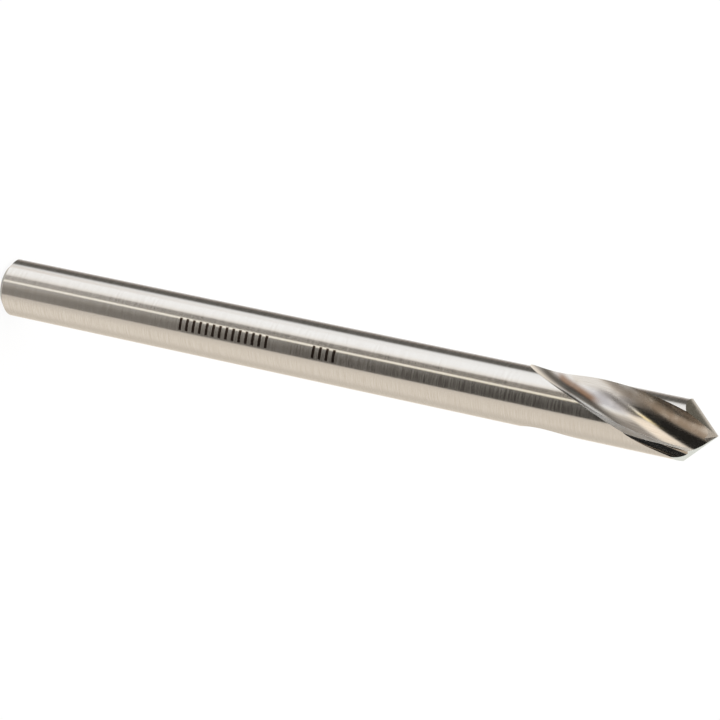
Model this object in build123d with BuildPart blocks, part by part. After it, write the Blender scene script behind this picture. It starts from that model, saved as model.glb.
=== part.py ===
from build123d import *

import os
from math import acos, asin, cos, degrees, radians, sin, sqrt, tan

# A solid two-flute spotting drill with a 90 degree point, right-hand helix and
# right-hand cut. Millimetres and degrees. It stands on its shank end: the axis is +Z,
# the origin is the centre of the shank end, and the first lip points along +X.

# Blank: a plain shank, and lands that lose a little of their radius behind the point
drill_diameter = 4.0
overall_length = 52.0
end_chamfer = 0.4
back_taper = 0.0004         # loss of land radius for each millimetre behind the tip
nose_gap = 0.4              # from the nose of the flutes back to the shank

# Flutes: a round-nosed groove with a straight land along the heel
flute_count = 2
flute_length = 13.1         # from the tip to the nose of the run-out
flute_lead = 36.0           # length of one full turn of the helix
flute_radius = 1.9          # radius of the round part of the groove
web_at_point = 0.41         # thickness of the core at the tip
web_rise = 0.071            # gain of half the core for each millimetre from the tip
runout_radius = 5.3         # how fast the groove climbs out of the shank
runout_slack = 1.0          # turn given up over the run-out, degrees for each square mm
heel_crease = 149.0         # where the round part ends, seen from the groove's centre
heel_direction = 48.0       # direction of the straight part, from the groove's centre line
stations = 20               # sections through one groove

# Point: two planar flanks on each land, and a thinned web
point_angle = 90.0
lip_offset = 0.31           # how far each lip lies ahead of the axis
primary_relief = 18.8       # fall of the flank behind the lip
secondary_relief = 50.8
ridge_angle = 36.0          # from the lip back to the ridge between the two flanks
chisel_half = 0.03          # half the width of the core left at the tip
gash_tilt = 20.3            # of the root of the thinning notch, from the axis
gash_azimuth = 111.2        # of the same line, from the lip
gash_roll = 26.3            # of the notch's floor about that line
gash_opening = 156.5        # between the floor and the wall of the notch
gash_reach = 1.0            # length of the notch, from the tip

# Scoop that backs off the heel of each land behind the point
scoop_radius = 0.36
scoop_station = 3.0         # distance from the tip at which its place is measured
scoop_inset = 0.29          # from the blank's surface in to the scoop's axis, there
scoop_lag = 4.0             # from the heel edge back to the axis, about the drill
scoop_lean = 25.8           # of the scoop's axis, from the drill's axis
scoop_heading = 99.7        # of that lean, from the outward direction

drill_radius = drill_diameter / 2
clear = drill_diameter      # how far the cutting shapes reach outside the blank
land_length = flute_length + nose_gap
shank_length = overall_length - land_length
land_root_radius = drill_radius - back_taper * land_length
lip_slope = 1 / tan(radians(point_angle / 2))


def half_web(depth):
    """Distance from the axis to the bottom of the groove before it climbs out."""
    return web_at_point / 2 + web_rise * depth


runout_length = sqrt(2 * runout_radius * (drill_radius - half_web(flute_length)))
runout_start = flute_length - runout_length


def groove_centre(depth):
    """Distance from the axis to the groove's centre, at a depth below the tip."""
    climb = max(depth - runout_start, 0)
    return half_web(depth) + flute_radius + climb**2 / (2 * runout_radius)


def half_width(depth):
    """Half the angle that the groove takes out of the blank's outline."""
    centre = groove_centre(depth)
    return degrees(
        acos((drill_radius**2 + centre**2 - flute_radius**2) / (2 * drill_radius * centre))
    )


def helix_turn(depth):
    """Turn of the groove about the axis between the tip and this depth."""
    climb = max(depth - runout_start, 0)
    return -360 * depth / flute_lead + runout_slack * climb**2


lip_corner_depth = drill_radius * lip_slope
lip_corner_angle = degrees(asin(lip_offset / drill_radius))
groove_angle_at_tip = lip_corner_angle + half_width(lip_corner_depth) - helix_turn(lip_corner_depth)


def groove_angle(depth):
    """Direction of the groove's centre line about the axis, at a depth below the tip."""
    return groove_angle_at_tip + helix_turn(depth)


def direction(azimuth, elevation=0):
    """Unit vector from its angle about the axis and its angle above the horizontal."""
    level = cos(radians(elevation))
    return Vector(
        level * cos(radians(azimuth)), level * sin(radians(azimuth)), sin(radians(elevation))
    )


tip = Vector(0, 0, overall_length)


# One groove, lofted through sections square to the axis
first_depth = -flute_radius / 2
last_depth = flute_length + runout_radius / 10
with BuildPart() as groove:
    for station in range(stations + 1):
        depth = first_depth + (last_depth - first_depth) * station / stations
        centre = groove_centre(depth)
        section = Plane(
            origin=(0, 0, overall_length - depth),
            x_dir=direction(groove_angle(depth)),
            z_dir=(0, 0, 1),
        )
        with BuildSketch(section):
            with BuildLine():
                bottom = CenterArc((centre, 0), flute_radius, heel_crease, 270 - heel_crease)
                heel = PolarLine(bottom @ 0, clear, heel_direction)
                Polyline(heel @ 1, (centre + clear, -flute_radius), bottom @ 1)
            make_face()
    loft()
groove.part.label = "groove"


# The notch that thins the web at the tip: a floor and a wall that meet on a root line
root = direction(gash_azimuth, gash_tilt - 90)
level_across = Vector(0, 0, 1).cross(root).normalized() * -1
notch_plane = Plane(
    origin=tip + Vector(0, chisel_half, 0), x_dir=level_across, z_dir=root * -1
).rotated((0, 0, -gash_roll))
with BuildPart() as notch:
    with BuildSketch(notch_plane.offset(-gash_reach)):
        with BuildLine():
            wall = PolarLine((0, 0), drill_radius / 2, gash_opening)
            Polyline(
                wall @ 1,
                (-drill_radius / 2, drill_radius / 2),
                (drill_radius, drill_radius / 2),
                (drill_radius, 0),
                (0, 0),
            )
        make_face()
    extrude(amount=gash_reach + drill_radius / 2)
notch.part.label = "notch"


# The scoop: a straight round groove laid along the heel edge, a little steeper than it
scoop_angle = groove_angle(scoop_station) + half_width(scoop_station) - scoop_lag
scoop_centre = (
    tip
    + direction(scoop_angle) * (drill_radius - scoop_inset)
    - Vector(0, 0, scoop_station)
)
scoop_axis = direction(scoop_angle + scoop_heading, 90 - scoop_lean)
with BuildPart() as scoop:
    with BuildSketch(Plane(origin=scoop_centre, z_dir=scoop_axis)):
        Circle(scoop_radius)
    extrude(amount=clear, both=True)
scoop.part.label = "scoop"


# Flank planes: both pass through the tip, and they share the ridge on each land
primary_fall = tan(radians(primary_relief))
secondary_fall = tan(radians(secondary_relief))
secondary_slope = lip_slope - (secondary_fall - primary_fall) * tan(radians(ridge_angle))
flanks = (
    Vector(lip_slope, -primary_fall, 1),
    Vector(secondary_slope, -secondary_fall, 1),
)

with BuildPart() as spotting_drill:
    Cylinder(drill_radius, shank_length, align=(Align.CENTER, Align.CENTER, Align.MIN))
    chamfer(spotting_drill.edges().group_by(Axis.Z)[0], end_chamfer)
    with Locations((0, 0, shank_length)):
        Cone(
            land_root_radius,
            drill_radius,
            land_length,
            align=(Align.CENTER, Align.CENTER, Align.MIN),
        )
    for normal in flanks:
        with BuildSketch(Plane(origin=tip, z_dir=normal)):
            Rectangle(4 * clear, 4 * clear)
        flank_cut = extrude(amount=2 * clear, mode=Mode.PRIVATE)
        with PolarLocations(0, flute_count):
            add(flank_cut, mode=Mode.SUBTRACT)
    with PolarLocations(0, flute_count):
        add(groove.part, mode=Mode.SUBTRACT)
    with PolarLocations(0, flute_count):
        add(scoop.part, mode=Mode.SUBTRACT)
    with PolarLocations(0, flute_count):
        add(notch.part, mode=Mode.SUBTRACT)
spotting_drill.part.label = "spotting_drill"

os.makedirs("parts", exist_ok=True)
export_step(spotting_drill.part, "parts/spotting_drill.step")
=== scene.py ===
"""A ground spotting drill on a pale studio floor.

The drill is one piece of high speed steel. Its surfaces are worked out here in millimetres in
the drill's own frame: the axis is +Z, the origin is the centre of the shank end, and the first
cutting lip points along +X.
"""

import logging
import math
from dataclasses import dataclass, field
from enum import Enum
from typing import Any

import bmesh
import bpy
import numpy as np
from bpy.types import Material, Mesh, Node, NodeSocket, NodeTree, Object
from mathutils import Matrix, Vector


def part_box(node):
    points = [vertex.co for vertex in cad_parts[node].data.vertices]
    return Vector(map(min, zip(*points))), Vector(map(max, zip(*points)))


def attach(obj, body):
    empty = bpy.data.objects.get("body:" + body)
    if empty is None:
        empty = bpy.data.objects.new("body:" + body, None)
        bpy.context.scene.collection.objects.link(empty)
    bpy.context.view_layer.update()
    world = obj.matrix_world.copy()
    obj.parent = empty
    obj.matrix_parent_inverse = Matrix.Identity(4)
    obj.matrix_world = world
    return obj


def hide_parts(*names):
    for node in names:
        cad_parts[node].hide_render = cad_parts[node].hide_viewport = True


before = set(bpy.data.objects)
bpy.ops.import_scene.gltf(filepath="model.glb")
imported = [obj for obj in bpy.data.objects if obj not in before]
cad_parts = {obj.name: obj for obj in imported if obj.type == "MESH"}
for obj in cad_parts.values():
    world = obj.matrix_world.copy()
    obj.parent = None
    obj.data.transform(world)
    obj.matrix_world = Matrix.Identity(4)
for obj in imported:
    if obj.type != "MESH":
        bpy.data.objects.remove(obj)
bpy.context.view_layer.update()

NODE = "spotting_drill"
BODY = "root"
MM = 0.001

SMOOTH = {"interpolation_type": "SMOOTHSTEP"}
Source = Node | NodeSocket  # what a link starts from

log = logging.getLogger("spotting_drill")


def linear(colour: str) -> tuple[float, float, float, float]:
    """Turn an sRGB colour into linear light, by the standard curve.

    Args:
        colour: The colour as "#RRGGBB".

    Returns:
        Linear red, green and blue, and full opacity.
    """
    parts = [int(colour[i : i + 2], 16) / 255 for i in (1, 3, 5)]
    red, green, blue = (
        part / 12.92 if part <= 0.04045 else ((part + 0.055) / 1.055) ** 2.4 for part in parts
    )
    return red, green, blue, 1.0


def add_node(
    tree: NodeTree,
    kind: str,
    settings: dict[str, Any] | None = None,
    inputs: dict[str | int, Any] | None = None,
) -> Node:
    """Add a shader node with its settings, values and links.

    Args:
        tree: The node tree that gets the node.
        kind: The node's type name, after "ShaderNode".
        settings: Properties of the node to set.
        inputs: For each input, a value, or the socket or node that is linked to it. A node
            gives its first output.

    Returns:
        The new node.
    """
    node = tree.nodes.new("ShaderNode" + kind)
    for name, value in (settings or {}).items():
        setattr(node, name, value)
    for name, value in (inputs or {}).items():
        value = value.outputs[0] if isinstance(value, Node) else value
        if isinstance(value, NodeSocket):
            tree.links.new(value, node.inputs[name])
        else:
            node.inputs[name].default_value = value
    return node


def add_object(name: str, data: bpy.types.ID) -> Object:
    """Put a new object into the scene.

    Args:
        name: The object's name.
        data: Its mesh, lamp or camera.

    Returns:
        The object.
    """
    item = bpy.data.objects.new(name, data)
    bpy.context.scene.collection.objects.link(item)
    return item


class Surface(Enum):
    """The surfaces that the grinder leaves on the drill."""

    SHANK = 0
    CHAMFER = 1
    SHANK_END = 2
    FLUTE = 3
    HEEL_STRIP = 4
    SCOOP = 5
    PRIMARY_FLANK = 6
    SECONDARY_FLANK = 7
    NOTCH_FLOOR = 8
    NOTCH_WALL = 9


FLANKS = (Surface.PRIMARY_FLANK, Surface.SECONDARY_FLANK)


def slot_of(surface: Surface, side: int) -> int:
    """Mesh slot of a surface on the first (0) or second (1) side of the drill."""
    return 2 * surface.value + side


def turned(points: np.ndarray, angle: np.ndarray | float) -> np.ndarray:
    """Turn points about the drill's axis.

    Args:
        points: Array whose last axis is x, y, z.
        angle: Angle in radians, one number or an array for all points.

    Returns:
        The points at x cos a - y sin a, x sin a + y cos a, z.
    """
    cosine, sine = np.cos(angle), np.sin(angle)
    x, y, z = points[..., 0], points[..., 1], points[..., 2]
    return np.stack([x * cosine - y * sine, x * sine + y * cosine, z], axis=-1)


def unit(vectors: np.ndarray) -> np.ndarray:
    """Each vector divided by its own length."""
    return vectors / np.linalg.norm(vectors, axis=-1, keepdims=True)


def direction(azimuth: float, elevation: float = 0.0) -> np.ndarray:
    """Unit vector from its angle about the axis and its angle above the horizontal, in degrees."""
    level, turn = math.cos(math.radians(elevation)), math.radians(azimuth)
    return np.array(
        [level * math.cos(turn), level * math.sin(turn), math.sin(math.radians(elevation))]
    )


@dataclass
class Shape:
    """A closed mesh as plain arrays, with the surface slot of each face."""

    points: np.ndarray
    faces: list[list[int]] = field(default_factory=list)
    slots: list[int] = field(default_factory=list)

    def add(self, faces: list[list[int]], slots: list[int]) -> None:
        """Add faces and their surface slots."""
        self.faces += faces
        self.slots += slots

    def both_sides(self) -> "Shape":
        """Add this shape's copy, turned by half a turn about the axis.

        Returns:
            Both as a single shape.
        """
        start = len(self.points)
        faces = [[number + start for number in face] for face in self.faces]
        points = np.concatenate([self.points, turned(self.points, math.pi)])
        return Shape(points, self.faces + faces, self.slots + [slot + 1 for slot in self.slots])

    def to_object(self, name: str) -> Object:
        """Put the shape into the scene, in millimetres, with its faces turned outwards.

        Args:
            name: The object's name.

        Returns:
            The new object, with one material slot for each surface slot.
        """
        mesh = bpy.data.meshes.new(name)
        mesh.from_pydata(self.points.tolist(), [], self.faces)
        for _ in range(2 * len(Surface)):
            mesh.materials.append(None)
        mesh.polygons.foreach_set("material_index", np.array(self.slots, dtype=np.int32))
        work = bmesh.new()
        work.from_mesh(mesh)
        bmesh.ops.recalc_face_normals(work, faces=work.faces)
        work.to_mesh(mesh)
        work.free()
        return add_object(name, mesh)


def ring_grid(rows: int, columns: int) -> tuple[np.ndarray, list[list[int]]]:
    """Number the points of a grid that closes round its columns.

    Args:
        rows: Number of rings.
        columns: Number of points in each ring.

    Returns:
        The number of each point, and the quads between neighbouring rings.
    """
    index = np.arange(rows * columns).reshape(rows, columns)
    beside = np.roll(index, -1, axis=1)
    quads = np.stack([index[:-1], beside[:-1], beside[1:], index[1:]], axis=-1)
    return index, quads.reshape(-1, 4).tolist()


def tube_of_sections(sections: np.ndarray, slots: np.ndarray, cap_slot: int) -> Shape:
    """Close a stack of equal closed sections into a solid.

    Args:
        sections: Points as rows of sections, columns round each section, then x, y, z.
        slots: The surface slot of each column of faces.
        cap_slot: The surface slot of the two flat ends.

    Returns:
        The shape: quads between neighbouring sections, and one face over each end.
    """
    rows, columns = sections.shape[:2]
    index, quads = ring_grid(rows, columns)
    shape = Shape(sections.reshape(-1, 3))
    shape.add(quads, np.tile(slots, rows - 1).tolist())
    shape.add([index[0].tolist(), index[-1].tolist()], [cap_slot, cap_slot])
    return shape


@dataclass(frozen=True)
class Flute:
    """The groove of one flute: a round nose and a straight strip along the heel.

    A point of the groove is given by the depth below the tip and by its place in the section
    at that depth, seen from the groove's centre line. Millimetres and degrees.
    """

    drill_radius: float
    length: float = 13.1  # from the tip to the nose of the run-out
    lead: float = 36.0  # length of one full turn of the helix
    nose_radius: float = 1.9
    half_web_at_tip: float = 0.205  # half the thickness of the core
    web_rise: float = 0.071  # gain of that for each millimetre of depth
    runout_radius: float = 5.3  # how fast the groove climbs out of the shank
    runout_slack: float = 1.0  # turn given up for each square millimetre
    crease: float = 149.0  # where the round part ends
    strip_direction: float = 48.0  # of the straight strip
    lip_offset: float = 0.31  # how far the lip lies ahead of the axis
    lip_corner_depth: float = 2.0  # depth of the lip's outer end
    overrun: float = 0.53  # how far the cutter runs on past the nose
    depth_steps: int = 150
    nose_steps: int = 88
    strip_steps: int = 10

    def climb(self, depth: np.ndarray) -> np.ndarray:
        """Find how far points lie past the start of the run-out, where a parabola begins.

        Args:
            depth: Depths below the tip.

        Returns:
            The depth past that start, or 0 before it.
        """
        at_nose = self.drill_radius - self.half_web_at_tip - self.web_rise * self.length
        start = self.length - math.sqrt(2 * self.runout_radius * at_nose)
        return np.maximum(depth - start, 0)

    def centre(self, depth: np.ndarray) -> np.ndarray:
        """Distance of the groove's centre from the axis: half web, radius and climb."""
        core = self.half_web_at_tip + self.web_rise * depth
        return core + self.nose_radius + self.climb(depth) ** 2 / (2 * self.runout_radius)

    def half_width(self, depth: np.ndarray) -> np.ndarray:
        """Half the angle that the round part takes out of the blank, by the cosine rule.

        Args:
            depth: Depths below the tip.

        Returns:
            Angles in radians.
        """
        centre = self.centre(depth)
        cosine = (self.drill_radius**2 + centre**2 - self.nose_radius**2) / (
            2 * self.drill_radius * centre
        )
        return np.arccos(np.clip(cosine, -1, 1))

    def helix(self, depth: np.ndarray) -> np.ndarray:
        """Turn of the groove from the tip: a right-hand helix that slackens in the run-out."""
        slack = math.radians(self.runout_slack) * self.climb(depth) ** 2
        return -2 * math.pi * depth / self.lead + slack

    def heading(self, depth: np.ndarray) -> np.ndarray:
        """Direction of the groove's centre line about the axis, which the helix turns.

        Args:
            depth: Depths below the tip.

        Returns:
            Angles in radians.
        """
        corner = np.array(self.lip_corner_depth)
        at_tip = math.asin(self.lip_offset / self.drill_radius) + self.half_width(corner)
        return at_tip - self.helix(corner) + self.helix(depth)

    def cutter(self, drill_length: float, reach: float) -> Shape:
        """Make the body that the two flutes take away.

        The section is the straight strip from outside the blank to the crease, then the round
        nose by equal steps of its angle, then one corner outside the blank.

        Args:
            drill_length: Height of the tip.
            reach: How far the body stands out of the blank.

        Returns:
            The closed shape of both flutes.
        """
        depth = np.linspace(-self.nose_radius / 2, self.length + self.overrun,
                            self.depth_steps + 1)
        along = np.linspace(reach, 0, self.strip_steps, endpoint=False)
        crease, slope = math.radians(self.crease), math.radians(self.strip_direction)
        crease_x = self.nose_radius * math.cos(crease)
        crease_y = self.nose_radius * math.sin(crease)
        angle = np.radians(np.linspace(self.crease, 270, self.nose_steps + 1))
        x = np.concatenate([crease_x + along * math.cos(slope), self.nose_radius * np.cos(angle),
                            [reach]])
        y = np.concatenate([crease_y + along * math.sin(slope), self.nose_radius * np.sin(angle),
                            [-self.nose_radius]])
        sections = np.empty((len(depth), len(x), 3))
        sections[..., 0] = self.centre(depth)[:, None] + x
        sections[..., 1] = y
        sections[..., 2] = drill_length - depth[:, None]
        sections = turned(sections, self.heading(depth)[:, None])
        slots = np.full(len(x), slot_of(Surface.FLUTE, 0))
        slots[: self.strip_steps] = slot_of(Surface.HEEL_STRIP, 0)
        return tube_of_sections(sections, slots, slot_of(Surface.FLUTE, 0)).both_sides()

    def normals(self, points: np.ndarray, drill_length: float, on_strip: bool) -> np.ndarray:
        """Exact outward normals of the groove.

        The normal is the cross product of two tangents: one across the section, and one down
        the groove, which turns with the helix, moves out with the centre and falls by one. The
        turn and the move for each millimetre are central differences.

        Args:
            points: Points on the first flute.
            drill_length: Height of the tip.
            on_strip: Whether they lie on the straight strip.

        Returns:
            Unit normals that point out of the steel.
        """
        depth = drill_length - points[:, 2]
        heading = self.heading(depth)
        step = 1e-4
        turn, rise = (
            (value(depth + step) - value(depth - step)) / (2 * step)
            for value in (self.heading, self.centre)
        )
        local = turned(points, -heading)
        if on_strip:
            slope = math.radians(self.strip_direction)
            across = np.tile([-math.cos(slope), -math.sin(slope), 0.0], (len(depth), 1))
        else:
            angle = np.arctan2(local[:, 1], local[:, 0] - self.centre(depth))
            across = np.stack([-np.sin(angle), np.cos(angle), np.zeros_like(depth)], -1)
        down = np.stack([rise - turn * local[:, 1], turn * local[:, 0], -np.ones_like(depth)], -1)
        return turned(unit(np.cross(across, down)), heading)

    def stroke(self, points: np.ndarray, drill_length: float) -> np.ndarray:
        """Find the place of points on the grinding lines of the flute.

        Args:
            points: Points on the first flute.
            drill_length: Height of the tip.

        Returns:
            For each point, its place round the nose and its depth, in millimetres.
        """
        depth = drill_length - points[:, 2]
        local = turned(points, -self.heading(depth))
        angle = np.arctan2(local[:, 1], local[:, 0] - self.centre(depth))
        return np.stack([self.nose_radius * (angle % (2 * math.pi)), depth], -1)


@dataclass(frozen=True)
class Point:
    """The ground point: two flanks on each land and the notch that thins the web.

    Millimetres and degrees.
    """

    point_angle: float = 90.0
    primary_relief: float = 18.8  # fall of the flank behind the lip
    secondary_relief: float = 50.8
    ridge_angle: float = 36.0  # from the lip back to the ridge between the flanks
    chisel_half: float = 0.03  # half the width of the core left at the tip
    gash_tilt: float = 20.3  # of the notch's root, from the axis
    gash_azimuth: float = 111.2  # of the same line, from the lip
    gash_roll: float = 26.3  # of the notch's floor about that line
    gash_opening: float = 156.5  # between the floor and the wall of the notch
    gash_reach: float = 1.0  # length of the notch, from the tip
    ridge_bend: float = 0.34  # share by which the worn ridge leans to the next flank
    ridge_width: float = 0.85  # of the primary flank that bends, beside the ridge
    score_lines: tuple[float, ...] = (0.15, 0.35, 0.6, 1.0)  # places in that width

    def slopes(self, surface: Surface) -> tuple[float, float]:
        """Fall of a flank plane of the first side for each millimetre along X and Y.

        Args:
            surface: The primary or the secondary flank.

        Returns:
            The fall along X and the fall along Y.
        """
        lip_slope = 1 / math.tan(math.radians(self.point_angle / 2))
        primary = math.tan(math.radians(self.primary_relief))
        secondary = math.tan(math.radians(self.secondary_relief))
        if surface is Surface.PRIMARY_FLANK:
            return lip_slope, -primary
        ridge_slope = math.tan(math.radians(self.ridge_angle))
        return lip_slope - (secondary - primary) * ridge_slope, -secondary

    def flanks(self) -> list[tuple[Surface, int, float, float]]:
        """List the four flank planes.

        Returns:
            For each plane its surface, its side, its fall along X and its fall along Y.
        """
        found = []
        for surface in FLANKS:
            x, y = self.slopes(surface)
            found += [(surface, 0, x, y), (surface, 1, -x, -y)]
        return found

    def ridges(self) -> list[float]:
        """Find the azimuths at which two neighbouring flanks are equally high.

        Returns:
            The four azimuths in radians.
        """
        primary, secondary = (self.slopes(surface) for surface in FLANKS)
        front = -math.radians(self.ridge_angle)
        back = math.atan2(secondary[0] + primary[0], -(secondary[1] + primary[1]))
        return [angle % (2 * math.pi) for angle in (front, front + math.pi, back, back + math.pi)]

    def from_ridge(self) -> np.ndarray:
        """Level direction out of the front ridge, over the primary flank of the first side."""
        return direction(90 - self.ridge_angle)

    def primary_normals(self, points: np.ndarray) -> np.ndarray:
        """Normals of the primary flank of the first side.

        The face is flat, and beside the ridge it leans to the secondary flank by a share that
        grows with the square of the nearness to the ridge.

        Args:
            points: Points on the flank.

        Returns:
            One unit normal for each point.
        """
        flat, beyond = (unit(np.array([*self.slopes(surface), 1.0])) for surface in FLANKS)
        nearness = np.clip(1 - (points @ self.from_ridge()) / self.ridge_width, 0, 1)
        return unit(flat + self.ridge_bend * nearness[:, None] ** 2 * (beyond - flat))

    def score(self, work: bmesh.types.BMesh) -> None:
        """Cut lines beside the ridges into the primary flanks, so that their shading can bend.

        Args:
            work: The drill's mesh.
        """
        for side in (0, 1):
            outward = turned(self.from_ridge(), side * math.pi)
            slot = slot_of(Surface.PRIMARY_FLANK, side)
            for share in self.score_lines:
                flank = [face for face in work.faces if face.material_index == slot]
                bounds = [part for face in flank for part in (*face.edges, *face.verts)]
                bmesh.ops.bisect_plane(
                    work, geom=flank + list(dict.fromkeys(bounds)),
                    plane_co=outward * share * self.ridge_width, plane_no=outward,
                )

    def notch_axes(self) -> tuple[np.ndarray, np.ndarray, np.ndarray]:
        """Find the directions of the notch of the first side.

        Returns:
            Unit vectors along its floor, out of its floor, and along its root.
        """
        root = direction(self.gash_azimuth, self.gash_tilt - 90)
        level = -unit(np.cross([0, 0, 1], root))
        up = np.cross(-root, level)
        roll = -math.radians(self.gash_roll)
        floor = level * math.cos(roll) + up * math.sin(roll)
        return floor, np.cross(-root, floor), -root

    def notch_cutter(self, tip: np.ndarray, size: float) -> Shape:
        """Make the body that thins the web on both sides.

        The section is a corner with its floor and its wall, closed outside the blank, carried
        straight along the root.

        Args:
            tip: The drill's tip.
            size: Size of the section.

        Returns:
            The closed shape of both notches.
        """
        along, out, root = self.notch_axes()
        wall = math.radians(self.gash_opening)
        x = np.array([0, size * math.cos(wall), -size, 2 * size, 2 * size])
        y = np.array([0, size * math.sin(wall), size, size, 0])
        start = tip + np.array([0, self.chisel_half, 0])
        section = start + x[:, None] * along + y[:, None] * out
        ends = np.array([-self.gash_reach, size])
        sections = section + ends[:, None, None] * root
        slots = np.full(len(x), slot_of(Surface.NOTCH_FLOOR, 0))
        slots[0] = slot_of(Surface.NOTCH_WALL, 0)
        return tube_of_sections(sections, slots, slot_of(Surface.NOTCH_WALL, 0)).both_sides()


@dataclass(frozen=True)
class Scoop:
    """The straight round groove that backs off the heel of each land.

    Millimetres and degrees.
    """

    radius: float = 0.36
    station: float = 3.0  # depth below the tip at which its place is measured
    inset: float = 0.29  # from the blank's surface in to the axis, there
    lag: float = 4.0  # from the heel edge back to the axis, about the drill
    lean: float = 25.8  # of the scoop's axis, from the drill's axis
    heading: float = 99.7  # of that lean, from the outward direction
    steps: int = 72

    def axis(self, flute: Flute, drill_length: float) -> tuple[np.ndarray, np.ndarray]:
        """Lay the scoop's axis on the first side.

        Args:
            flute: The flute whose heel it follows.
            drill_length: Height of the tip.

        Returns:
            A point on the axis and the axis's direction.
        """
        depth = np.array(self.station)
        edge = float(flute.heading(depth) + flute.half_width(depth))
        turn = math.degrees(edge) - self.lag
        place = direction(turn) * (flute.drill_radius - self.inset)
        place[2] = drill_length - self.station
        return place, direction(turn + self.heading, 90 - self.lean)

    def cutter(self, flute: Flute, drill_length: float, reach: float) -> Shape:
        """Make the body that both scoops take away: a round bar along the scoop's axis.

        Args:
            flute: The flute whose heel it follows.
            drill_length: Height of the tip.
            reach: Half the length of the bar.

        Returns:
            The closed shape of both bars.
        """
        place, along = self.axis(flute, drill_length)
        across = unit(np.cross(along, [0, 0, 1]))
        other = np.cross(along, across)
        angle = np.linspace(0, 2 * math.pi, self.steps, endpoint=False)[:, None]
        ring = place + self.radius * (np.cos(angle) * across + np.sin(angle) * other)
        sections = ring + np.array([-reach, reach])[:, None, None] * along
        slots = np.full(self.steps, slot_of(Surface.SCOOP, 0))
        return tube_of_sections(sections, slots, slot_of(Surface.SCOOP, 0)).both_sides()


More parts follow.
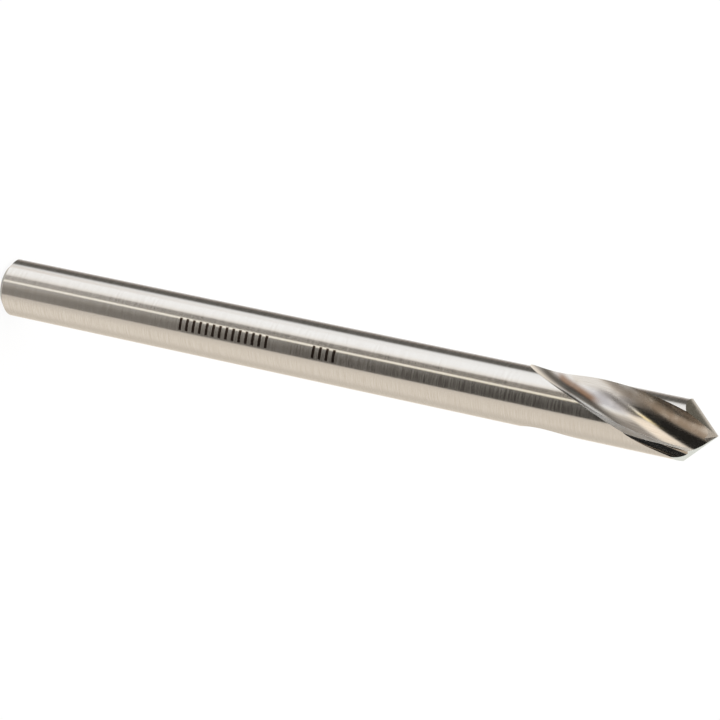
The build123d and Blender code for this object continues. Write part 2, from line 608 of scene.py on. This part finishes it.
@dataclass
class SpottingDrill:
    """The whole drill: a round blank with its flutes, point, scoops and notches ground in."""

    radius: float
    length: float
    end_chamfer: float = 0.4
    plain_below: float = 1.0  # shank below the flutes that has close rows too
    round_steps: int = 320
    flute_rows: int = 100

    def __post_init__(self) -> None:
        """Work out the ground forms from the blank."""
        self.point = Point()
        self.flute = Flute(self.radius)
        self.scoop = Scoop()
        self.tip = np.array([0, 0, self.length])

    def blank(self) -> Shape:
        """Make the round blank with its chamfered end and its four flanks.

        The top of the blank is the lowest of the four flank planes, so at a radius r it falls
        below the tip by r times the largest fall in that direction.

        Returns:
            The closed shape.
        """
        steps = np.linspace(0, 2 * math.pi, self.round_steps, endpoint=False)
        decimals = 9  # drops a ridge that falls on a step
        azimuth = np.unique(np.round(np.concatenate([steps, self.point.ridges()]), decimals))
        flanks = self.point.flanks()
        falls = np.array([x * np.cos(azimuth) + y * np.sin(azimuth) for _, _, x, y in flanks])
        top = self.length - self.radius * falls.max(axis=0)
        below = self.length - self.flute.length - self.plain_below
        share = np.linspace(0, 1, self.flute_rows)[:, None]
        upper = below + (top - below) * share
        foot = np.array([0.0, self.end_chamfer, below / 2])[:, None] + np.zeros_like(azimuth)
        height = np.concatenate([foot, upper])
        radius = np.full_like(height, self.radius)
        radius[0] = self.radius - self.end_chamfer
        rings = np.stack([radius * np.cos(azimuth), radius * np.sin(azimuth), height], -1)
        rows, columns = height.shape
        index, quads = ring_grid(rows, columns)
        shape = Shape(np.concatenate([rings.reshape(-1, 3), self.tip[None]]))
        slots = np.full(len(quads), slot_of(Surface.SHANK, 0))
        slots[:columns] = slot_of(Surface.CHAMFER, 0)
        shape.add(quads, slots.tolist())
        shape.add([index[0].tolist()], [slot_of(Surface.SHANK_END, 0)])
        middle = azimuth + (np.roll(azimuth, -1) - azimuth) % (2 * math.pi) / 2
        falls = [x * np.cos(middle) + y * np.sin(middle) for _, _, x, y in flanks]
        owner = np.argmax(falls, axis=0)
        for number, (surface, side, _, _) in enumerate(flanks):
            held = np.flatnonzero(owner == number)
            first = held[np.flatnonzero(owner[held - 1] != number)[0]]
            run = (first + np.arange(len(held) + 1)) % columns
            face = index[-1][run].tolist() + [len(shape.points) - 1]
            shape.add([face], [slot_of(surface, side)])
        return shape

    def ground(self) -> Mesh:
        """Grind the flutes, scoops and notches out of the blank.

        Returns:
            The drill's mesh in millimetres, with a slot for each surface.
        """
        reach = 2 * self.radius
        blank = self.blank().to_object("blank")
        cutters = {
            "flutes": self.flute.cutter(self.length, reach),
            "scoops": self.scoop.cutter(self.flute, self.length, reach),
            "notches": self.point.notch_cutter(self.tip, self.radius / 2),
        }
        for name, shape in cutters.items():
            cutter = shape.to_object(name)
            modifier = blank.modifiers.new(name, "BOOLEAN")
            modifier.operation = "DIFFERENCE"
            modifier.solver = "EXACT"
            modifier.material_mode = "INDEX"
            modifier.object = cutter
            view = bpy.context.evaluated_depsgraph_get()
            mesh = bpy.data.meshes.new_from_object(blank.evaluated_get(view))
            blank.modifiers.clear()
            blank.data = mesh
            bpy.data.objects.remove(cutter)
            log.info("ground the %s: %d faces", name, len(mesh.polygons))
        bpy.data.objects.remove(blank)
        work = bmesh.new()
        work.from_mesh(mesh)
        self.point.score(work)
        bmesh.ops.triangulate(work, faces=work.faces)
        work.to_mesh(mesh)
        work.free()
        return mesh

    def normals(self, surface: Surface, points: np.ndarray) -> np.ndarray:
        """Exact outward normals of a surface of the first side.

        Args:
            surface: The surface.
            points: Points on it.

        Returns:
            One unit normal for each point.
        """
        level = points * np.array([1, 1, 0])
        if surface is Surface.SHANK:
            return unit(level)
        if surface is Surface.CHAMFER:
            return unit(unit(level) + np.array([0, 0, -1]))
        if surface is Surface.SHANK_END:
            return np.tile([0.0, 0.0, -1.0], (len(points), 1))
        if surface in (Surface.FLUTE, Surface.HEEL_STRIP):
            return self.flute.normals(points, self.length, surface is Surface.HEEL_STRIP)
        if surface is Surface.SCOOP:
            place, along = self.scoop.axis(self.flute, self.length)
            offset = points - place
            return unit((offset @ along)[:, None] * along - offset)
        if surface is Surface.PRIMARY_FLANK:
            return self.point.primary_normals(points)
        if surface is Surface.SECONDARY_FLANK:
            return np.tile(unit(np.array([*self.point.slopes(surface), 1.0])), (len(points), 1))
        floor, out, _ = self.point.notch_axes()
        wall = math.radians(self.point.gash_opening)
        across = math.sin(wall) * floor - math.cos(wall) * out
        return np.tile(out if surface is Surface.NOTCH_FLOOR else across, (len(points), 1))

    def strokes(self, surface: Surface, points: np.ndarray) -> np.ndarray:
        """Place of points across and along the grinding lines of a surface, in millimetres.

        Args:
            surface: The surface.
            points: Points on its first side.

        Returns:
            For each point, its place across the lines and its place along them.
        """
        if surface in (Surface.SHANK, Surface.CHAMFER):
            azimuth = np.arctan2(points[:, 1], points[:, 0])
            return np.stack([points[:, 2], self.radius * azimuth], -1)
        if surface in (Surface.FLUTE, Surface.HEEL_STRIP, Surface.SCOOP):
            return self.flute.stroke(points, self.length)
        if surface is Surface.SHANK_END:
            return points[:, :2]
        return np.stack([points[:, 0] - points[:, 2], points[:, 1]], -1)

    def build(self, finishes: dict[Surface, Material]) -> None:
        """Build the drill in metres, with its finishes, in place of the plain solid.

        Args:
            finishes: The material of each surface.
        """
        mesh = self.ground()
        corners = np.empty(len(mesh.loops), dtype=np.int32)
        mesh.loops.foreach_get("vertex_index", corners)
        places = np.empty(3 * len(mesh.vertices))
        mesh.vertices.foreach_get("co", places)
        points = places.reshape(-1, 3)[corners]
        slots = np.empty(len(mesh.polygons), dtype=np.int32)
        mesh.polygons.foreach_get("material_index", slots)
        corner_slots = np.repeat(slots, 3)
        normals = np.empty_like(points)
        strokes = np.empty((len(points), 2))
        for surface in Surface:
            for side in (0, 1):
                held = corner_slots == slot_of(surface, side)
                if held.any():
                    first = turned(points[held], -side * math.pi)
                    normals[held] = turned(self.normals(surface, first), side * math.pi)
                    strokes[held] = self.strokes(surface, first)
        turns = strokes[:, 1].reshape(-1, 3)
        half_turn = math.pi * self.radius
        crosses_seam = (np.ptp(turns, axis=1) > half_turn)[:, None] & (turns < 0)
        turns[crosses_seam] += 2 * half_turn
        used = sorted(set(finishes.values()), key=lambda material: material.name)
        finish_of = np.array([used.index(finishes[surface]) for surface in Surface])
        mesh.materials.clear()
        for material in used:
            mesh.materials.append(material)
        mesh.polygons.foreach_set("material_index", finish_of[slots // 2].astype(np.int32))
        layer = mesh.uv_layers.new(name="grinding")
        layer.uv.foreach_set("vector", strokes.astype(np.float32).ravel())
        mesh.transform(Matrix.Scale(MM, 4))
        mesh.normals_split_custom_set(normals.tolist())
        mesh.name = "ground_spotting_drill"
        piece = add_object("ground_spotting_drill", mesh)
        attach(piece, BODY)
        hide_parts(NODE)
        log.info("drill: %d triangles, %d points", len(mesh.polygons), len(mesh.vertices))


def band(tree: NodeTree, value: Source, low: float, high: float, soft: float) -> Node:
    """Mask a value between two limits.

    Args:
        tree: The material's node tree.
        value: The value.
        low: The lower limit.
        high: The upper limit.
        soft: How far outside the limits the mask falls to 0.

    Returns:
        1 between the limits and 0 outside them.
    """
    inside = add_node(tree, "Math", {"operation": "SUBTRACT"}, {0: value, 1: (low + high) / 2})
    distance = add_node(tree, "Math", {"operation": "ABSOLUTE"}, {0: inside})
    return add_node(tree, "MapRange", SMOOTH, {
        "Value": distance, "From Min": (high - low) / 2 + soft, "From Max": (high - low) / 2,
    })


@dataclass(frozen=True)
class EtchedScale:
    """A plain scale of short ticks that a laser darkened on the shank, in millimetres."""

    colour: str = "#4A4039"
    pitch: float = 0.5
    tick_width: float = 0.17
    spans: tuple[tuple[float, float], ...] = ((14.25, 21.25), (24.25, 26.25))  # from the end
    round_span: tuple[float, float] = (1.25, 2.05)  # round the shank, from +X
    edge: float = 0.03
    roughness: float | None = None  # as rough as the steel beside it

    def mask(self, tree: NodeTree, along: Source, across: Source) -> Node:
        """Find where the laser darkened the steel.

        Args:
            tree: The material's node tree.
            along: Place along the drill.
            across: Place round the drill.

        Returns:
            1 on a tick and 0 beside it.
        """
        # The phase is 0 on the middle of a tick and never negative, so its lower limit is free.
        phase = add_node(tree, "Math", {"operation": "PINGPONG"}, {0: along, 1: self.pitch / 2})
        tick = band(tree, phase, -self.pitch, self.tick_width / 2, self.edge)
        rows = [band(tree, along, low, high, self.edge) for low, high in self.spans]
        held = add_node(tree, "Math", {"operation": "ADD"}, {0: rows[0], 1: rows[1]})
        height = band(tree, across, *self.round_span, self.edge)
        row = add_node(tree, "Math", {"operation": "MULTIPLY"}, {0: held, 1: height})
        return add_node(tree, "Math", {"operation": "MULTIPLY"}, {0: row, 1: tick})


@dataclass(frozen=True)
class StainAndShadePatch:
    """A patch of tinted, duller steel in a flute, with soft and cloudy edges. It holds real stains
    and also painted shade.

    It lies between two lines that climb the flute's profile with the depth, and between two
    depths below the tip. Each edge is given as the place where the stain is nil and the place
    where it is full, in millimetres.
    """

    colour: str
    roughness: float
    rise: tuple[float, float]
    fall: tuple[float, float]
    begin: tuple[float, float]
    end: tuple[float, float]
    climb: float = 0.0  # mm round the profile for each mm of depth
    cloud_size: float = 0.9  # mm
    cloud_edges: tuple[float, float] = (0.3, 0.6)  # of the noise, from thinnest to full
    thinnest: float = 0.55  # share of the stain that is left between the clouds

    def mask(self, tree: NodeTree, profile: Source, depth: Source) -> Node:
        """Find where the steel is stained, or where shade is painted on it.

        Args:
            tree: The material's node tree.
            profile: Place round the flute's profile.
            depth: Depth below the tip.

        Returns:
            1 where it is fully stained and 0 where it is clean.
        """
        level = add_node(tree, "Math", {"operation": "MULTIPLY_ADD"}, {
            0: depth, 1: -self.climb, 2: profile,
        })
        edges = ((level, self.rise), (level, self.fall), (depth, self.begin), (depth, self.end))
        where = add_node(tree, "TexCoord")
        cloud = add_node(tree, "TexNoise", None, {
            "Vector": where.outputs["Object"], "Scale": 1 / (self.cloud_size * MM), "Detail": 4.0,
        })
        mask = add_node(tree, "MapRange", None, {
            "Value": cloud,
            "From Min": self.cloud_edges[0], "From Max": self.cloud_edges[1],
            "To Min": self.thinnest, "To Max": 1.0,
        })
        for value, (nil, full) in edges:
            edge = add_node(tree, "MapRange", SMOOTH, {
                "Value": value, "From Min": nil, "From Max": full,
            })
            mask = add_node(tree, "Math", {"operation": "MULTIPLY"}, {0: mask, 1: edge})
        return mask


@dataclass(frozen=True)
class GroundSteel:
    """High speed steel as a grinding wheel leaves it.

    The wheel's grit draws fine parallel lines, which break a reflection up along the stroke. Along
    the lines the colour is painted darker in the grooves: painted shade, which leaves brighter and
    darker threads. Real lines lie a few hundredths of a millimetre apart; these are as coarse as
    they need to be to show.
    """

    name: str
    colour: str = "#D2D2D1"
    # colour painted into the grooves of the lines, as their shade
    groove_shade_colour: str = "#C6C4C1"
    roughness: float = 0.16
    anisotropy: float = 0.0  # how much wider a reflection spreads across the lines
    line_spacing: float = 0.035  # mm between grinding lines
    line_length: float = 1.2  # mm that one line runs on
    line_depth: float = 0.0004  # mm
    grain_size: float = 0.12  # mm
    grain_depth: float = 0.0006  # mm
    gloss_noise: tuple[float, float] = (0.3, 0.7)  # of the lines, glossiest to dullest
    gloss_swing: tuple[float, float] = (0.75, 1.3)  # of the roughness, between those
    thread_noise: tuple[float, float] = (0.35, 0.6)  # of the lines, dark thread to bright
    marks: tuple[EtchedScale | StainAndShadePatch, ...] = ()

    def material(self) -> Material:
        """Make the material.

        Returns:
            A metal with grinding lines and a slight grain in colour, roughness and bump, under
            its marks. The darker colour along the lines is painted shade in the grooves.
        """
        material = bpy.data.materials.new(self.name)
        material.use_nodes = True
        tree = material.node_tree
        tree.nodes.clear()
        place = add_node(tree, "UVMap", {"uv_map": "grinding"})
        across_along = add_node(tree, "SeparateXYZ", None, {0: place})
        stretched = add_node(tree, "VectorMath", {"operation": "MULTIPLY"}, {
            0: place, 1: (1 / self.line_spacing, 1 / self.line_length, 0),
        })
        lines = add_node(tree, "TexNoise", {"noise_dimensions": "2D"}, {
            "Vector": stretched, "Scale": 1.0, "Detail": 3.0,
        })
        where = add_node(tree, "TexCoord")
        grain = add_node(tree, "TexNoise", None, {
            "Vector": where.outputs["Object"], "Scale": 1 / (self.grain_size * MM), "Detail": 2.0,
        })
        height = add_node(tree, "Math", {"operation": "MULTIPLY_ADD"}, {
            0: lines, 1: self.line_depth / self.grain_depth, 2: grain,
        })
        bump = add_node(tree, "Bump", None, {
            "Strength": 1.0, "Distance": self.grain_depth * MM, "Height": height,
        })
        roughness = add_node(tree, "MapRange", None, {
            "Value": lines,
            "From Min": self.gloss_noise[0], "From Max": self.gloss_noise[1],
            "To Min": self.roughness * self.gloss_swing[0],
            "To Max": self.roughness * self.gloss_swing[1],
        })
        # Painted shade: the colour darkens along the grooves of the lines.
        groove_shade = add_node(tree, "MapRange", None, {
            "Value": lines,
            "From Min": self.thread_noise[0], "From Max": self.thread_noise[1],
        })
        colour = add_node(tree, "Mix", {"data_type": "RGBA"}, {
            "Factor": groove_shade, 6: linear(self.groove_shade_colour), 7: linear(self.colour),
        }).outputs[2]
        for mark in self.marks:
            mask = mark.mask(tree, across_along.outputs["X"], across_along.outputs["Y"])
            colour = add_node(tree, "Mix", {"data_type": "RGBA"}, {
                "Factor": mask, 6: colour, 7: linear(mark.colour),
            }).outputs[2]
            if mark.roughness is not None:
                roughness = add_node(tree, "Mix", None, {
                    "Factor": mask, 2: roughness, 3: mark.roughness,
                })
        across = add_node(tree, "Tangent", {"direction_type": "UV_MAP", "uv_map": "grinding"})
        steel = add_node(tree, "BsdfPrincipled", None, {
            "Base Color": colour, "Metallic": 1.0,
            "Anisotropic": self.anisotropy, "Tangent": across,
            "Roughness": roughness, "Normal": bump,
        })
        add_node(tree, "OutputMaterial", None, {"Surface": steel})
        return material


@dataclass(frozen=True)
class TentPanel:
    """One soft-edged panel of the light tent, in degrees as seen from the drill."""

    azimuth: tuple[float, float]
    elevation: tuple[float, float]
    soft: tuple[float, float]
    colour: str

    def over(self, tree: NodeTree, where: Source, behind: Source) -> NodeSocket:
        """Hang the panel in front of what is behind it.

        The panel's strength is 1 inside its edges and falls to 0 over the soft width: it is the
        product of one such step for the azimuth and one for the elevation.

        Args:
            tree: The world's node tree.
            where: Azimuth and elevation of the direction, in degrees, as a vector.
            behind: The colour behind the panel.

        Returns:
            The colour with the panel.
        """
        spans = (self.azimuth, self.elevation)
        centre = [(low + high) / 2 for low, high in spans]
        half = [(high - low) / 2 for low, high in spans]
        offset = add_node(tree, "VectorMath", {"operation": "SUBTRACT"}, {
            0: where, 1: (*centre, 0),
        })
        distance = add_node(tree, "VectorMath", {"operation": "ABSOLUTE"}, {0: offset})
        inside = add_node(tree, "MapRange", {"data_type": "FLOAT_VECTOR", **SMOOTH}, {
            "Vector": distance,
            7: (half[0] + self.soft[0], half[1] + self.soft[1], 1),
            8: (half[0] - self.soft[0], half[1] - self.soft[1], 0),
        })
        parts = add_node(tree, "SeparateXYZ", None, {0: inside.outputs["Vector"]})
        strength = add_node(tree, "Math", {"operation": "MULTIPLY"}, {
            0: parts.outputs["X"], 1: parts.outputs["Y"],
        })
        return add_node(tree, "Mix", {"data_type": "RGBA"}, {
            "Factor": strength, 6: behind, 7: linear(self.colour),
        }).outputs[2]


@dataclass
class StudioSet:
    """A light tent round the drill, with pale and dark panels, over a plain pale floor."""

    floor_size: float = 1.2  # metres
    floor_colour: str = "#F5F4F2"
    floor_glow: float = 0.9  # how white the camera sees the floor, apart from its shadow
    even_light: float = 0.9
    even_colour: str = "#F4F3F1"
    lamp_place: tuple[float, float, float] = (0.15, -0.1, 0.5)
    lamp_target: tuple[float, float, float] = (0, 0, 0.02)
    lamp_size: float = 0.5  # metres
    lamp_watts: float = 2.0
    panel_light: float = 1.6
    tent_colour: str = "#D8CEC1"
    # A later panel hangs in front. As the camera sees it, the shank mirrors the tent from 17 to
    # 31 degrees below the horizon, the flute what is above that, the chamfer what is far below.
    panels: tuple[TentPanel, ...] = tuple(TentPanel(*row) for row in (
        ((-180, -105), (-90, -44), (14, 5), "#A09F99"),
        ((-200, -160), (-50, 4), (12, 5), "#C3B9AC"),
        ((150, 200), (-50, 4), (16, 5), "#C3B9AC"),
        ((-139, -76), (-38, -12), (17, 4), "#FFFFFF"),
        ((-112, -60), (1, 12), (10, 4), "#B9B4AE"),
        ((-98, -58), (-46, -13), (11, 4), "#7F736A"),
        ((-58, 1), (-38, -9), (14, 4), "#FAFAFA"),
        ((-52, -7), (-4, 14), (8, 5), "#928A82"),
        ((-86, -46), (-15, 4), (18, 4), "#625D57"),
        ((-82, -54), (-45, -12), (6, 4), "#55534F"),
        ((-49, -37), (-44, -32), (4, 5), "#A98B70"),
        ((-3, 27), (-10, 9), (10, 4), "#F6E6D2"),
        ((-20, 45), (-90, -34), (14, 5), "#E2DDD7"),
        ((50, 105), (-90, -34), (14, 5), "#9E978F"),
        ((86, 150), (-12, 6), (5, 4), "#A5937F"),
        ((5, 27), (-33, -12), (5, 3), "#2C2A28"),
        ((20, 37), (-18, -12), (5, 3), "#6A655B"),
        ((32, 82), (-31.5, 14), (2.5, 4), "#22201E"),
        ((28, 87), (-12, 16), (4, 3), "#1F1D1A"),
        ((25, 31), (-40, -14), (1.5, 2), "#FFFAF0"),  # bright line on the shank
        ((25, 33), (-17, -8), (2, 3), "#FFE9B4"),  # yellow streak in the flute
        ((-60, 112), (15, 40), (10, 3), "#1A1918"),
        ((60, 116), (8, 40), (6, 2), "#1A1918"),
        ((-101, -60), (13, 60), (7, 4), "#565248"),
        ((150, 190), (6, 40), (8, 5), "#D9DCD6"),
    ))

    def world(self) -> None:
        """Light the tent: panels where steel mirrors it, and an even pale light elsewhere."""
        world = bpy.data.worlds.new("light_tent")
        bpy.context.scene.world = world
        world.use_nodes = True
        tree = world.node_tree
        tree.nodes.clear()
        toward = add_node(tree, "TexCoord")
        parts = add_node(tree, "SeparateXYZ", None, {0: toward.outputs["Generated"]})
        azimuth = add_node(tree, "Math", {"operation": "ARCTAN2"}, {
            0: parts.outputs["Y"], 1: parts.outputs["X"],
        })
        elevation = add_node(tree, "Math", {"operation": "ARCSINE"}, {0: parts.outputs["Z"]})
        radians = add_node(tree, "CombineXYZ", None, {0: azimuth, 1: elevation})
        where = add_node(tree, "VectorMath", {"operation": "SCALE"}, {
            0: radians, "Scale": math.degrees(1),
        })
        colour = add_node(tree, "RGB").outputs[0]
        colour.default_value = linear(self.tent_colour)
        for panel in self.panels:
            colour = panel.over(tree, where, colour)
        panels = add_node(tree, "Background", None, {"Color": colour, "Strength": self.panel_light})
        even = add_node(tree, "Background", None, {
            "Color": linear(self.even_colour), "Strength": self.even_light,
        })
        path = add_node(tree, "LightPath")
        mixed = add_node(tree, "MixShader", None, {
            "Fac": path.outputs["Is Glossy Ray"], 1: even, 2: panels,
        })
        add_node(tree, "OutputWorld", None, {"Surface": mixed})

    def floor(self) -> None:
        """Lay the plain pale floor, part of the stage, which keeps a soft shadow of the drill."""
        half = self.floor_size / 2
        mesh = bpy.data.meshes.new("floor")
        mesh.from_pydata(
            [(-half, -half, 0), (half, -half, 0), (half, half, 0), (-half, half, 0)],
            [], [(0, 1, 2, 3)],
        )
        material = bpy.data.materials.new("matt_white_card")
        material.use_nodes = True
        tree = material.node_tree
        tree.nodes.clear()
        card = add_node(tree, "BsdfDiffuse", None, {"Color": linear(self.floor_colour)})
        glow = add_node(tree, "Emission", None, {"Color": linear("#FFFFFF")})
        path = add_node(tree, "LightPath")
        seen = add_node(tree, "Math", {"operation": "MULTIPLY"}, {
            0: path.outputs["Is Camera Ray"], 1: self.floor_glow,
        })
        mixed = add_node(tree, "MixShader", None, {"Fac": seen, 1: card, 2: glow})
        add_node(tree, "OutputMaterial", None, {"Surface": mixed})
        mesh.materials.append(material)
        item = add_object("floor", mesh)
        item.visible_glossy = False

    def lamp(self) -> None:
        """Hang one soft square lamp over the drill, which faces it."""
        light = bpy.data.lights.new("overhead_softbox", "AREA")
        light.size = self.lamp_size
        light.energy = self.lamp_watts
        item = add_object("overhead_softbox", light)
        item.location = place = Vector(self.lamp_place)
        facing = Vector(self.lamp_target) - place
        item.rotation_euler = facing.to_track_quat("-Z", "Y").to_euler()
        item.visible_glossy = False

    def build(self) -> None:
        """Set up the world, the floor and one soft lamp."""
        self.world()
        self.floor()
        self.lamp()
        log.info("studio set ready")


@dataclass(frozen=True)
class PhotoCamera:
    """The camera of the photograph: it looks down on the drill, rolled so that the drill lies."""

    place: tuple[float, float, float] = (129.42, 123.29, 109.40)  # mm
    right: tuple[float, float, float] = (-0.15291, -0.43312, 0.88827)
    up: tuple[float, float, float] = (0.73772, -0.64810, -0.18901)
    sensor: float = 36.0  # mm
    lens: float = 150.53  # mm
    nearest: float = 0.01  # metres

    def build(self) -> None:
        """Place the camera and make it the scene's own."""
        right = Vector(self.right).normalized()
        back = right.cross(Vector(self.up)).normalized()
        up = back.cross(right)
        data = bpy.data.cameras.new("photo_camera")
        data.sensor_width = self.sensor
        data.lens = self.lens
        data.clip_start = self.nearest
        item = add_object("photo_camera", data)
        turn = Matrix((right, up, back)).transposed().to_4x4()
        item.matrix_world = Matrix.Translation(Vector(self.place) * MM) @ turn
        bpy.context.scene.camera = item


def steel_finishes() -> dict[Surface, Material]:
    """Make the finish of each surface.

    Returns:
        The material of each surface.
    """
    # Centreless grinding: the lines run round the shank and smear reflections along it, so it
    # shows long bright and dark bands, with fine threads across them whose darker colour is painted
    # shade in the grooves.
    shank = GroundSteel(
        "centreless_ground_steel", roughness=0.2, anisotropy=0.9, marks=(EtchedScale(),)
    ).material()
    # Beside the lip, painted shade: the rake face's colour is painted a darker warm grey, and its
    # polish there is duller.
    painted_rake_shade = StainAndShadePatch(
        "#9A8E82", roughness=0.3, rise=(5.1, 5.9), fall=(9.5, 9.0), begin=(0.0, 1.2),
        end=(9.5, 4.0), climb=0.192,
    )
    # The wheel's heat has left a brown tint in the run-out.
    temper = StainAndShadePatch(
        "#7C6452", roughness=0.2, rise=(2.65, 3.0), fall=(3.75, 3.15), begin=(7.4, 8.7),
        end=(12.0, 11.0), climb=0.343, thinnest=0.9,
    )
    # Half-way along, the polish has a cool grey bloom.
    bloom = StainAndShadePatch(
        "#A8A6A8", roughness=0.32, rise=(5.7, 6.1), fall=(7.2, 6.6), begin=(5.2, 6.2),
        end=(9.6, 8.2),
    )
    # Polished by a fine formed wheel: it mirrors the tent with sharp, winding edges.
    # Its marks: the painted shade beside the lip, the bloom and the heat tint.
    flute = GroundSteel(
        "polished_flute_steel", roughness=0.14, marks=(painted_rake_shade, bloom, temper)
    ).material()
    # The edge of that wheel leaves the heel's strip dull: one pale, even sheen.
    heel = GroundSteel(
        "dull_heel_steel", colour="#F2F5F7", groove_shade_colour="#DDE0E2", roughness=0.42
    ).material()
    # A flat wheel leaves the flanks level: each one mirrors a single soft tone.
    flank = GroundSteel("wheel_ground_flank_steel", roughness=0.2).material()
    # A thin, coarse wheel cuts the notch: matt, so that it stays one mid grey.
    notch = GroundSteel("coarse_ground_notch_steel", roughness=0.45).material()
    in_surface_order = (shank, shank, shank, flute, heel, flute, flank, flank, notch, notch)
    return dict(zip(Surface, in_surface_order, strict=True))


def main() -> None:
    """Build the drill, its finishes and the studio."""
    logging.basicConfig(level=logging.INFO, format="%(name)s: %(message)s")
    _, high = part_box(NODE)
    SpottingDrill(radius=high.x / MM, length=high.z / MM).build(steel_finishes())
    StudioSet().build()
    PhotoCamera().build()
    bpy.context.scene.view_settings.view_transform = "Standard"


if __name__ == "__main__":
    main()
